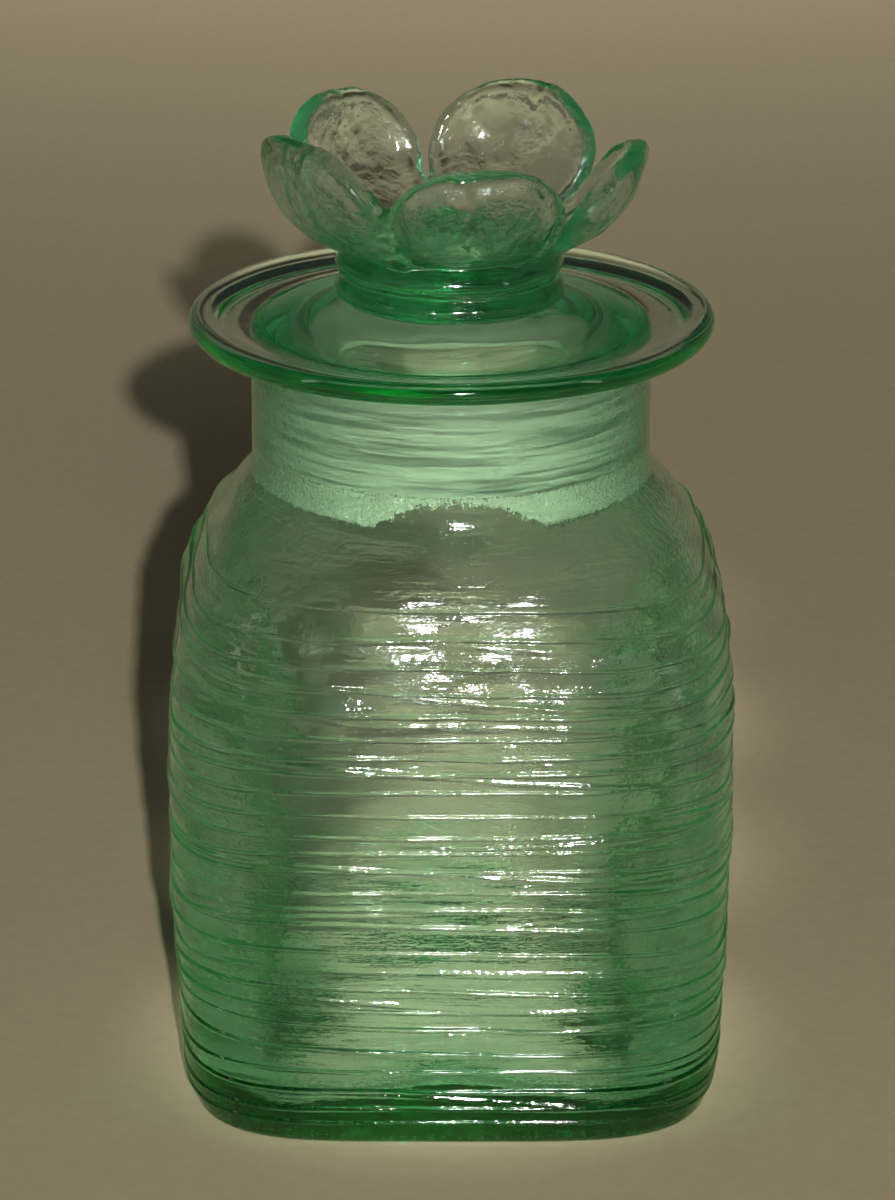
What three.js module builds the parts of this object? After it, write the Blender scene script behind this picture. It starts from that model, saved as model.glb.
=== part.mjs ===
// Square storage jar in pale green glass with a ground-in, hollow stopper.
//
// Two loose things: the jar (blown base, walls and neck, trailed glass thread) and the stopper
// (flanged hollow plug, two-ring collar, five-petal flower knob).
// Millimetres, +Z up, the jar's front face looks along -Y.
// The origin is on the table, under the middle of the jar.

import * as THREE from 'three';

// ---------------------------------------------------------------- dimensions
const GAP = 0.3;              // running gap between pieces that touch

// jar
const FOOT_IN = 41.0;         // flat foot ring, half-widths of its two edges
const FOOT_OUT = 48.6;
const KICK_Z = 2.6;           // push-up of the underside at the middle
const FLOOR_Z = 5.6;          // lowest point of the inside floor
const FLOOR_CROWN_Z = 6.8;    // inside floor at the middle
const BASE_CUT_Z = 12.0;      // where the base node ends and the wall node starts
const WALL_CUT_Z = 103.0;     // where the wall node ends and the neck node starts
const BODY_HALF_MAX = 56.8;   // greatest half-width of the square body
const NECK_Z = 127.0;         // where the shoulder becomes the round neck
const NECK_R = 40.0;          // outside radius of the neck
const RIM_Z = 154.2;          // top of the neck
const SOCKET_R_TOP = 36.35;   // ground conical socket inside the neck
const SOCKET_R_LOW = 35.35;
const SOCKET_Z_LOW = 131.0;

// trailed thread
const THREAD_W = 1.1;         // width on the wall
const THREAD_H = 0.8;         // how far it stands off the wall
const THREAD_TOP_Z = 113.5;
const THREAD_LOW_Z = 3.8;
const THREAD_TURNS = 26;

// stopper
const FLANGE_R = 52.5;
const FLANGE_Z = RIM_Z + GAP; // underside of the flange
const FLANGE_T = 3.0;
const BEAD_R = 2.7;           // rounded rim of the flange
const PLUG_DEPTH = 23.0;
const PLUG_R_IN = 31.5;
const DOME_FOOT_R = 38.6;
const DOME_TOP_R = 21.2;
const DOME_TOP_Z = 161.0;
const DOME_INSIDE_Z = 158.0;

// knob
const COLLAR_R = 22.9;
const COLLAR_LOW_Z = DOME_TOP_Z + GAP;
const RING_H = 5.0;
const CUP_R = 15.2;
const PETAL_T = 3.2;
const PETAL_SIDE_GAP = 0.25;  // from the plane half-way to the next petal
// direction (degrees from +X), tip radius, tip height of each petal
const PETALS = {
  petal_front:      { az: -80, tipR: 34.0, tipZ: 195.6 },
  petal_right:      { az:  -8, tipR: 37.6, tipZ: 194.4 },
  petal_back_right: { az:  64, tipR: 35.4, tipZ: 198.0 },
  petal_back_left:  { az: 136, tipR: 33.4, tipZ: 198.6 },
  petal_left:       { az: 208, tipR: 36.6, tipZ: 199.2 },
};

// ------------------------------------------------------------------- helpers
const rad = (d) => (d * Math.PI) / 180;

// 32 directions round the plan, closer together at the four corners
const QUARTER = [0, 15, 28, 37.5, 45, 52.5, 62, 75];
const DIRS = [];
for (let q = 0; q < 4; q++) for (const a of QUARTER) DIRS.push(rad(a + 90 * q));
const N = DIRS.length;

// distance from the axis of a rounded square (exponent n, 2 is a circle)
const planR = (half, n, a) =>
  half / Math.pow(Math.pow(Math.abs(Math.cos(a)), n) + Math.pow(Math.abs(Math.sin(a)), n), 1 / n);

// faces out: the triangles are turned round if the signed volume is negative
function facesOut(geo) {
  const p = geo.attributes.position;
  const idx = geo.index ? geo.index.array : null;
  const count = idx ? idx.length : p.count;
  const a = new THREE.Vector3(), b = new THREE.Vector3(), c = new THREE.Vector3();
  let vol = 0;
  const at = (k) => (idx ? idx[k] : k);
  for (let k = 0; k < count; k += 3) {
    a.fromBufferAttribute(p, at(k)); b.fromBufferAttribute(p, at(k + 1)); c.fromBufferAttribute(p, at(k + 2));
    vol += a.dot(b.cross(c));
  }
  if (vol < 0) {
    if (idx) for (let k = 0; k < count; k += 3) { const t = idx[k + 1]; idx[k + 1] = idx[k + 2]; idx[k + 2] = t; }
    else {
      const arr = p.array;
      for (let k = 0; k < count; k += 3) for (let m = 0; m < 3; m++) {
        const t = arr[3 * (k + 1) + m]; arr[3 * (k + 1) + m] = arr[3 * (k + 2) + m]; arr[3 * (k + 2) + m] = t;
      }
    }
  }
  geo.computeVertexNormals();
  return geo;
}

// A turned solid about Z from rows [height, half-width, plan exponent].
// Rows start and end on the axis.
function turned(rows) {
  const geo = new THREE.LatheGeometry(rows.map((r) => new THREE.Vector2(r[1], r[0])), N);
  const p = geo.attributes.position;
  for (let i = 0; i <= N; i++) {
    const a = DIRS[i % N];
    for (let j = 0; j < rows.length; j++) {
      const [z, half, n = 2] = rows[j];
      const r = half === 0 ? 0 : planR(half, n, a);
      p.setXYZ(i * rows.length + j, r * Math.cos(a), r * Math.sin(a), z);
    }
  }
  return facesOut(geo);
}

function glass(name, geometry, color, roughness = 0.06, opacity = 0.5) {
  const material = new THREE.MeshStandardMaterial({
    color, roughness, metalness: 0, transparent: true, opacity,
  });
  const mesh = new THREE.Mesh(geometry, material);
  mesh.name = name;
  return mesh;
}

// ----------------------------------------------------------------------- jar
// outside of the body, from the foot to the neck: height, half-width, exponent
const OUTSIDE = [
  [0.0, FOOT_OUT, 4.2], [1.2, 50.9, 4.25], [3.0, 52.5, 4.3], [6.0, 53.6, 4.4], [12.0, 54.4, 4.6],
  [24.0, 55.0, 4.8], [40.0, 56.1, 4.8], [60.0, BODY_HALF_MAX, 4.7], [80.0, 56.7, 4.5], [94.0, 55.7, 4.2],
  [103.0, 54.0, 3.9], [109.0, 51.9, 3.6], [114.0, 49.3, 3.2], [118.0, 46.7, 2.9], [121.5, 44.2, 2.6],
  [124.5, 42.0, 2.3], [NECK_Z, 40.3, 2.08], [130.0, NECK_R, 2],
];

// The blown body is one wall of glass. It is held as three solids that meet at
// two level cuts, so that each is a simple shape round the hollow.
const outAt = (z) => {
  const k = OUTSIDE.findIndex((r, i) => i + 1 < OUTSIDE.length && z >= r[0] && z <= OUTSIDE[i + 1][0]);
  const [z0, h0, n0] = OUTSIDE[k], [z1, h1, n1] = OUTSIDE[k + 1], t = (z - z0) / (z1 - z0);
  return [z, h0 + (h1 - h0) * t, n0 + (n1 - n0) * t];
};
const between = (lo, hi) => [outAt(lo), ...OUTSIDE.filter((r) => r[0] > lo + 0.5 && r[0] < hi - 0.5), outAt(hi)];
const loop = (rows) => [...rows, rows[0]];

const baseRows = [
  [KICK_Z, 0, 2], [2.3, 15, 2.4], [1.5, 28, 3.0], [0.5, 37.5, 3.8], [0.0, FOOT_IN, 4.1], [0.0, FOOT_OUT, 4.2],
  ...between(1.2, BASE_CUT_Z - GAP / 2),
  [BASE_CUT_Z - GAP / 2, 50.2, 4.5], [9.4, 49.0, 4.4], [7.2, 46.6, 4.2], [6.0, 42.8, 3.9], [FLOOR_Z, 36, 3.4],
  [6.1, 19, 2.6], [FLOOR_CROWN_Z, 0, 2],
];
const wallRows = loop([
  ...between(BASE_CUT_Z + GAP / 2, WALL_CUT_Z - GAP / 2),
  [WALL_CUT_Z - GAP / 2, 50.7, 3.7], [94.0, 52.5, 4.1], [80.0, 53.4, 4.4], [60.0, 53.5, 4.6], [40.0, 52.8, 4.7],
  [24.0, 51.6, 4.7], [BASE_CUT_Z + GAP / 2, 50.3, 4.5],
]);
const neckRows = loop([
  ...between(WALL_CUT_Z + GAP / 2, 130.0),
  [RIM_Z - 0.8, NECK_R, 2], [RIM_Z, 39.2, 2], [RIM_Z, 37.1, 2],
  [RIM_Z - 0.8, SOCKET_R_TOP, 2], [SOCKET_Z_LOW, SOCKET_R_LOW, 2],
  [127.5, 35.9, 2], [124.0, 38.3, 2.2], [120.5, 41.3, 2.5], [116.5, 44.5, 2.8], [111.0, 47.9, 3.2],
  [WALL_CUT_Z + GAP / 2, 50.6, 3.7],
]);

const jar = new THREE.Group();
jar.add(glass('jar_base', turned(baseRows), 0x4fa56f));
jar.add(glass('jar_walls', turned(wallRows), 0xa9cfae));
jar.add(glass('jar_neck', turned(neckRows), 0xa9cfae));

// The thread is wound round the outside of the body. wallAt gives the body's
// faceted wall at one of its directions, at any height.
function wallAt(dir, z) {
  const a = DIRS[((dir % N) + N) % N];
  for (let k = 0; k + 1 < OUTSIDE.length; k++) {
    const [z0, h0, n0] = OUTSIDE[k], [z1, h1, n1] = OUTSIDE[k + 1];
    if (z >= z0 && z <= z1) {
      const t = (z - z0) / (z1 - z0);
      const r0 = planR(h0, n0, a), r1 = planR(h1, n1, a);
      const slope = (r1 - r0) / (z1 - z0);               // wall lean, dr/dz
      return { a, r: r0 + (r1 - r0) * t, slope };
    }
  }
  throw new Error('thread leaves the wall');
}

// uneven winding: relative pitch of each turn, from the shoulder down
const PITCH = [1.25, 1.0, 1.1, 0.8, 1.2, 1.15, 0.7, 1.05, 1.3, 0.85, 1.1, 0.75, 1.2,
  0.9, 0.7, 1.15, 1.25, 0.8, 0.95, 0.7, 1.1, 1.2, 0.8, 1.05, 0.9, 1.0];
const PITCH_SUM = PITCH.reduce((s, v) => s + v, 0);
const LEVEL = [THREAD_TOP_Z];
for (const v of PITCH) LEVEL.push(LEVEL.at(-1) - ((THREAD_TOP_Z - THREAD_LOW_Z) * v) / PITCH_SUM);

// height of the thread's middle after `turns` turns, with a slow tilt
function threadZ(turns) {
  const k = Math.min(Math.floor(turns), THREAD_TURNS - 1);
  const t = turns - k;
  const fade = Math.min(1, turns / 2, (THREAD_TURNS - turns) / 2);
  const tilt = 0.9 * Math.sin(2 * Math.PI * turns + 0.9 + 0.35 * turns) + 0.3 * Math.sin(6 * Math.PI * turns + 0.5 * turns);
  return LEVEL[k] + (LEVEL[k + 1] - LEVEL[k]) * t + tilt * fade;
}

// direction, in the plane of the wall's cross-section, that a facet corner faces
function outward(dir, z) {
  const w = wallAt(dir, z), p = wallAt(dir - 1, z), q = wallAt(dir + 1, z);
  const tx = q.r * Math.cos(q.a) - p.r * Math.cos(p.a);
  const ty = q.r * Math.sin(q.a) - p.r * Math.sin(p.a);
  const l = Math.hypot(tx, ty);
  return { w, nx: ty / l, ny: -tx / l };
}

class Trail extends THREE.Curve {
  constructor(first, last) {
    super();
    this.pts = [];
    for (let s = first; s <= last; s++) {
      const z = threadZ(s / N);
      const { w, nx, ny } = outward(s, z);
      // stand-off: the gap, half the thread, and the room that a leaning wall needs
      const off = GAP + THREAD_H / 2 + 0.5 * THREAD_W * Math.abs(w.slope);
      this.pts.push(new THREE.Vector3(w.r * Math.cos(w.a) + off * nx, w.r * Math.sin(w.a) + off * ny, z));
    }
  }
  get steps() { return this.pts.length - 1; }
  getPoint(t, target = new THREE.Vector3()) {
    const f = t * this.steps, k = Math.min(Math.floor(f + 1e-9), this.steps - 1);
    return target.lerpVectors(this.pts[k], this.pts[k + 1], f - k);
  }
  getPointAt(u, target) { return this.getPoint(u, target); }
  getTangentAt(u, target = new THREE.Vector3()) {
    const k = Math.round(u * this.steps);
    const a = this.pts[Math.max(k - 1, 0)], b = this.pts[Math.min(k + 1, this.steps)];
    return target.copy(b).sub(a).normalize();
  }
}

function thread(first, last) {
  const trail = new Trail(first, last);
  // The sweep's own x runs along the jar's axis and its own y across the wall.
  const frames = trail.computeFrenetFrames(trail.steps, false);
  const p0 = trail.pts[0];
  const out = frames.binormals[0].x * p0.x + frames.binormals[0].y * p0.y > 0 ? 1 : -1;
  const section = new THREE.Shape();
  section.moveTo(-THREAD_W / 2, -out * THREAD_H / 2);
  section.lineTo(THREAD_W / 2, -out * THREAD_H / 2);
  section.lineTo(0, out * THREAD_H / 2);
  section.closePath();
  return facesOut(new THREE.ExtrudeGeometry(section, { steps: trail.steps, extrudePath: trail, bevelEnabled: false }));
}

const RUN = [0, 9 * N, 18 * N, THREAD_TURNS * N];
jar.add(glass('thread_trail_shoulder', thread(RUN[0], RUN[1]), 0x6fb488));
jar.add(glass('thread_trail_middle', thread(RUN[1] + 2, RUN[2]), 0x6fb488));
jar.add(glass('thread_trail_lower', thread(RUN[2] + 2, RUN[3]), 0x6fb488));

// ------------------------------------------------------------------- stopper
const plugTaper = (SOCKET_R_TOP - SOCKET_R_LOW) / (RIM_Z - 0.8 - SOCKET_Z_LOW);
const plugR = (z) => SOCKET_R_TOP + plugTaper * (z - (RIM_Z - 0.8)) - GAP;
const plugLow = FLANGE_Z - PLUG_DEPTH;

const stopperRows = [
  [DOME_TOP_Z, 0], [DOME_TOP_Z, DOME_TOP_R], [160.7, 24.0], [159.7, 30.0], [158.4, 35.5],
  [FLANGE_Z + FLANGE_T, DOME_FOOT_R], [FLANGE_Z + FLANGE_T, 44.6], [158.7, 47.2],
  [FLANGE_Z + 2 * BEAD_R - 0.1, FLANGE_R - BEAD_R], [159.0, FLANGE_R - 0.9], [FLANGE_Z + BEAD_R, FLANGE_R],
  [155.6, FLANGE_R - 0.7], [FLANGE_Z + 0.1, FLANGE_R - BEAD_R + 0.3], [FLANGE_Z, 47.6], [FLANGE_Z, 36.9],
  [153.7, plugR(153.7)], [plugLow + 1.0, plugR(plugLow + 1.0)], [plugLow, 34.4], [plugLow, 32.3],
  [plugLow + 1.0, PLUG_R_IN], [148.0, PLUG_R_IN], [152.2, 30.6], [155.0, 27.6], [156.9, 20.5],
  [DOME_INSIDE_Z, 0],
];

const stopper = new THREE.Group();
stopper.add(glass('stopper_body', turned(stopperRows), 0x9cc9a6));

// two stacked rounded rings, one solid disc each
function ring(r) {
  return turned([
    [0, 0], [0, r - 2.2], [1.1, r - 0.5], [RING_H / 2, r], [RING_H - 1.1, r - 0.5], [RING_H, r - 2.2], [RING_H, 0],
  ]);
}
const knob = new THREE.Group();
knob.position.z = COLLAR_LOW_Z;
const lowerRing = glass('knob_collar_lower', ring(COLLAR_R), 0x1f8a52);
const upperRing = glass('knob_collar_upper', ring(COLLAR_R - 0.1), 0x1f8a52);
upperRing.position.z = RING_H + GAP;
knob.add(lowerRing, upperRing);

// the flower's hollow middle, inside the petals
const CUP_Z = COLLAR_LOW_Z + 2 * RING_H + 2 * GAP;      // underside of the flower
const cup = glass('flower_cup', turned([
  [0, 0], [0, CUP_R - 0.4], [0.6, CUP_R], [2.4, CUP_R], [3.0, CUP_R - 1.2], [2.4, 8], [2.1, 0],
]), 0x57a874);
cup.position.z = CUP_Z - COLLAR_LOW_Z;
knob.add(cup);
stopper.add(knob);

// A petal is a thick spoon: a strip of a flared bowl that narrows to a round tip.
// Its own frame has the flower's axis as Z and the petal's middle along +X.
function petal(tipR, tipZ) {
  const P = [[CUP_R + 0.8, 1.95], [26.5, 1.6], [Math.min(tipR + 0.6, 36.4), 8.0], [tipR, tipZ - CUP_Z]];
  const bez = (v, k) => {
    const m = 1 - v;
    return m * m * m * P[0][k] + 3 * m * m * v * P[1][k] + 3 * m * v * v * P[2][k] + v * v * v * P[3][k];
  };
  const NU = 10, NV = 7;
  const geo = new THREE.BoxGeometry(2, 2, 1, NU, 1, NV);
  const p = geo.attributes.position;
  for (let i = 0; i < p.count; i++) {
    const u = p.getX(i), side = p.getY(i), v = p.getZ(i) + 0.5;
    const r = bez(v, 0), z = bez(v, 1), e = 1e-3;
    const dr = bez(v + e, 0) - bez(v - e, 0), dz = bez(v + e, 1) - bez(v - e, 1);
    const l = Math.hypot(dr, dz);
    // full width to 60 % of the length, then a round tip
    const taper = v < 0.6 ? 1 : Math.sqrt(Math.max(0, 1 - Math.pow((v - 0.6) / 0.425, 2.2)));
    const half = (rad(36) - Math.asin(PETAL_SIDE_GAP / r)) * taper;
    const edge = 1 - 0.25 * Math.pow(Math.abs(u), 6);
    const t = (PETAL_T / 2) * edge * side;
    const rr = r + (dz / l) * -t, zz = z + (dr / l) * t; // inside face up, outside face down
    // the side faces stay on their planes through the axis
    p.setXYZ(i, rr * Math.cos(u * half), rr * Math.sin(u * half), zz);
  }
  return facesOut(geo);
}
const flower = new THREE.Group();
flower.position.z = CUP_Z;
for (const [name, { az, tipR, tipZ }] of Object.entries(PETALS)) {
  const mesh = glass(name, petal(tipR, tipZ), 0x7fbd92);
  mesh.rotation.z = rad(az);
  flower.add(mesh);
}
stopper.add(flower);

const group = new THREE.Group();
group.add(jar, stopper);
export default group;
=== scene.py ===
import math

import bpy
import numpy as np
from mathutils import Matrix, Vector


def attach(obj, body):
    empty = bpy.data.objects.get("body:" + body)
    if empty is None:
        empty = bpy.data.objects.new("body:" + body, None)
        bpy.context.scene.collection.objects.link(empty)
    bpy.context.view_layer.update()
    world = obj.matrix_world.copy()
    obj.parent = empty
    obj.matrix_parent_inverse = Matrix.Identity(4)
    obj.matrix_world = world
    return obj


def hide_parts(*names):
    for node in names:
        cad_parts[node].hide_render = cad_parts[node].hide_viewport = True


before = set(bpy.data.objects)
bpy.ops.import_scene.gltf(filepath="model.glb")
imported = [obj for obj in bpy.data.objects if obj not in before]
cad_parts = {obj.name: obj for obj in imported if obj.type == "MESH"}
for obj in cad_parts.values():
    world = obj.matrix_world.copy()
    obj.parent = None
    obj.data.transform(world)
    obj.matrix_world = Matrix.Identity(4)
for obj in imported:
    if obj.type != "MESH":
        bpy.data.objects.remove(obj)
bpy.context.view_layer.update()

scene = bpy.context.scene
MM = 0.001

# =====================================================================
# Camera
# =====================================================================
cam_data = bpy.data.cameras.new("camera")
cam_data.sensor_fit = "AUTO"
cam_data.sensor_width = 36.0
cam_data.lens = 5016.8 / 1200.0 * 36.0
cam_data.clip_start = 0.05
cam_data.clip_end = 50.0
cam = bpy.data.objects.new("camera", cam_data)
cam.location = (-0.0007, -0.960, 0.4454)
cam.rotation_euler = (math.radians(90.0 - 19.94), 0.0, 0.0)
scene.collection.objects.link(cam)
scene.camera = cam

# =====================================================================
# Numeric helpers
# =====================================================================


def pchip(xk, yk):
    """Monotone cubic through the points, as a function."""
    xk, yk = np.asarray(xk, float), np.asarray(yk, float)
    h = np.diff(xk)
    d = np.diff(yk) / h
    m = np.zeros_like(yk)
    for i in range(1, len(xk) - 1):
        if d[i - 1] * d[i] > 0:
            w1, w2 = 2 * h[i] + h[i - 1], h[i] + 2 * h[i - 1]
            m[i] = (w1 + w2) / (w1 / d[i - 1] + w2 / d[i])
    m[0], m[-1] = d[0], d[-1]

    def f(x):
        x = np.clip(x, xk[0], xk[-1])
        i = np.clip(np.searchsorted(xk, x) - 1, 0, len(h) - 1)
        t = (x - xk[i]) / h[i]
        return (
            (1 + 2 * t) * (1 - t) ** 2 * yk[i]
            + t * (1 - t) ** 2 * h[i] * m[i]
            + t * t * (3 - 2 * t) * yk[i + 1]
            + t * t * (t - 1) * h[i] * m[i + 1]
        )

    return f


def spline(points, spacing):
    """Centripetal Catmull-Rom through rows of numbers (the first two are a place in
    mm), sampled every `spacing` mm. Returns the samples, ends included."""
    P = np.asarray(points, float)
    ext = np.vstack([2 * P[0] - P[1], P, 2 * P[-1] - P[-2]])
    out = []
    for i in range(1, len(ext) - 2):
        p0, p1, p2, p3 = ext[i - 1], ext[i], ext[i + 1], ext[i + 2]
        k = [max(np.hypot(*(b[:2] - a[:2])), 1e-6) ** 0.5 for a, b in ((p0, p1), (p1, p2), (p2, p3))]
        t0, t1 = 0.0, k[0]
        t2, t3 = t1 + k[1], t1 + k[1] + k[2]
        n = max(1, int(math.ceil(np.hypot(*(p2[:2] - p1[:2])) / spacing)))
        for s in range(n):
            t = t1 + (t2 - t1) * s / n
            a1 = (t1 - t) / (t1 - t0) * p0 + (t - t0) / (t1 - t0) * p1
            a2 = (t2 - t) / (t2 - t1) * p1 + (t - t1) / (t2 - t1) * p2
            a3 = (t3 - t) / (t3 - t2) * p2 + (t - t2) / (t3 - t2) * p3
            b1 = (t2 - t) / (t2 - t0) * a1 + (t - t0) / (t2 - t0) * a2
            b2 = (t3 - t) / (t3 - t1) * a2 + (t - t1) / (t3 - t1) * a3
            out.append((t2 - t) / (t2 - t1) * b1 + (t - t1) / (t2 - t1) * b2)
    out.append(P[-1])
    return np.array(out)


def smooth01(x):
    x = np.clip(x, 0, 1)
    return x * x * (3 - 2 * x)


def plan_r(half, n, a):
    """Distance from the axis of a rounded square; n = 2 is a circle."""
    return half / (np.abs(np.cos(a)) ** n + np.abs(np.sin(a)) ** n) ** (1.0 / n)


def make_mesh(name, verts_mm, faces, attrs=None):
    """A shaded-smooth mesh object. verts in mm; attrs: {name: one number per vertex}."""
    me = bpy.data.meshes.new(name)
    v = np.asarray(verts_mm, np.float64) * MM
    me.from_pydata(v.tolist(), [], faces)
    me.validate(verbose=False)
    me.update()
    me.shade_smooth()
    for key, values in (attrs or {}).items():
        a = me.attributes.new(key, "FLOAT", "POINT")
        a.data.foreach_set("value", np.asarray(values, np.float32))
    ob = bpy.data.objects.new(name, me)
    scene.collection.objects.link(ob)
    return ob


def grid_faces(rows, cols):
    """Quads of a closed tube of rows x cols vertices."""
    j = np.arange(rows - 1)[:, None]
    i = np.arange(cols)[None, :]
    a = j * cols + i
    b = j * cols + (i + 1) % cols
    return np.stack([a, b, b + cols, a + cols], -1).reshape(-1, 4).tolist()


def revolve(name, P, pole0, pole1, attrs=None):
    """Closed skin from P[rows, cols, 3] with a point at each end."""
    rows, cols, _ = P.shape
    verts = np.vstack([P.reshape(-1, 3), [pole0], [pole1]])
    faces = grid_faces(rows, cols)
    s, e = rows * cols, rows * cols + 1
    faces += [[s, (i + 1) % cols, i] for i in range(cols)]
    o = (rows - 1) * cols
    faces += [[e, o + i, o + (i + 1) % cols] for i in range(cols)]
    full = {}
    for key, val in (attrs or {}).items():
        full[key] = np.concatenate([val.reshape(-1), [val[0].mean(), val[-1].mean()]])
    ob = make_mesh(name, verts, faces, full)
    # faces out
    me = ob.data
    me.calc_loop_triangles()
    co = np.empty(len(me.vertices) * 3)
    me.vertices.foreach_get("co", co)
    co = co.reshape(-1, 3)
    tri = np.empty(len(me.loop_triangles) * 3, np.int32)
    me.loop_triangles.foreach_get("vertices", tri)
    t = co[tri.reshape(-1, 3)]
    if np.einsum("ij,ij->i", t[:, 0], np.cross(t[:, 1], t[:, 2])).sum() < 0:
        me.flip_normals()
    return ob


def waves(x, y, z, seed, size, octaves=3):
    """Smooth noise from sines, about -1..1. x, y, z and size in mm."""
    rng = np.random.RandomState(seed)
    out = 0.0 * (x + y + z)
    amp, total = 1.0, 0.0
    for _ in range(octaves):
        for _ in range(4):
            d = rng.normal(size=3)
            d /= np.linalg.norm(d)
            ph, f = rng.uniform(0, 6.283), rng.uniform(0.7, 1.3) * 6.283 / size
            out = out + amp * np.sin((x * d[0] + y * d[1] + z * d[2]) * f + ph)
        total += amp * 2.0
        amp *= 0.5
        size *= 0.5
    return out / total


# =====================================================================
# Materials: one glass, with ground areas where an attribute says so
# =====================================================================
GLASS_IOR = 1.51
ABSORB_COLOR = (0.10, 0.885, 0.565, 1.0)
ABSORB_DENSITY = 59.0


class Nodes:
    def __init__(self, name):
        self.mat = bpy.data.materials.new(name)
        self.mat.use_nodes = True
        self.t = self.mat.node_tree
        self.t.nodes.clear()
        self.x = 0

    def add(self, kind, **props):
        n = self.t.nodes.new(kind)
        self.x += 180
        n.location = (self.x, 0)
        for k, v in props.items():
            setattr(n, k, v)
        return n

    def link(self, a, b):
        self.t.links.new(a, b)

    def put(self, socket, value):
        if hasattr(value, "is_output"):
            self.link(value, socket)
        else:
            socket.default_value = value

    def math(self, op, a, b=0.0, c=None, clamp=False):
        n = self.add("ShaderNodeMath", operation=op, use_clamp=clamp)
        self.put(n.inputs[0], a)
        self.put(n.inputs[1], b)
        if c is not None:
            self.put(n.inputs[2], c)
        return n.outputs[0]

    def noise(self, vector, scale, detail=2.0, rough=0.5, distortion=0.0):
        n = self.add("ShaderNodeTexNoise")
        self.link(vector, n.inputs["Vector"])
        n.inputs["Scale"].default_value = scale
        n.inputs["Detail"].default_value = detail
        n.inputs["Roughness"].default_value = rough
        n.inputs["Distortion"].default_value = distortion
        return n.outputs["Fac"]

    def scaled(self, vector, s):
        n = self.add("ShaderNodeMapping")
        self.link(vector, n.inputs["Vector"])
        n.inputs["Scale"].default_value = s
        return n.outputs["Vector"]

    def ramp(self, value, lo, hi, a=0.0, b=1.0, smooth=True):
        n = self.add("ShaderNodeMapRange", interpolation_type="SMOOTHSTEP" if smooth else "LINEAR")
        n.clamp = True
        self.put(n.inputs["Value"], value)
        for key, v in (("From Min", lo), ("From Max", hi), ("To Min", a), ("To Max", b)):
            self.put(n.inputs[key], v)
        return n.outputs["Result"]

    def mix(self, fac, a, b):
        n = self.add("ShaderNodeMix", data_type="FLOAT")
        self.put(n.inputs["Factor"], fac)
        self.put(n.inputs["A"], a)
        self.put(n.inputs["B"], b)
        return n.outputs["Result"]

    def bump(self, height, distance, strength=1.0, normal=None):
        n = self.add("ShaderNodeBump")
        self.put(n.inputs["Height"], height)
        n.inputs["Distance"].default_value = distance
        n.inputs["Strength"].default_value = strength
        if normal is not None:
            self.link(normal, n.inputs["Normal"])
        return n.outputs["Normal"]


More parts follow.
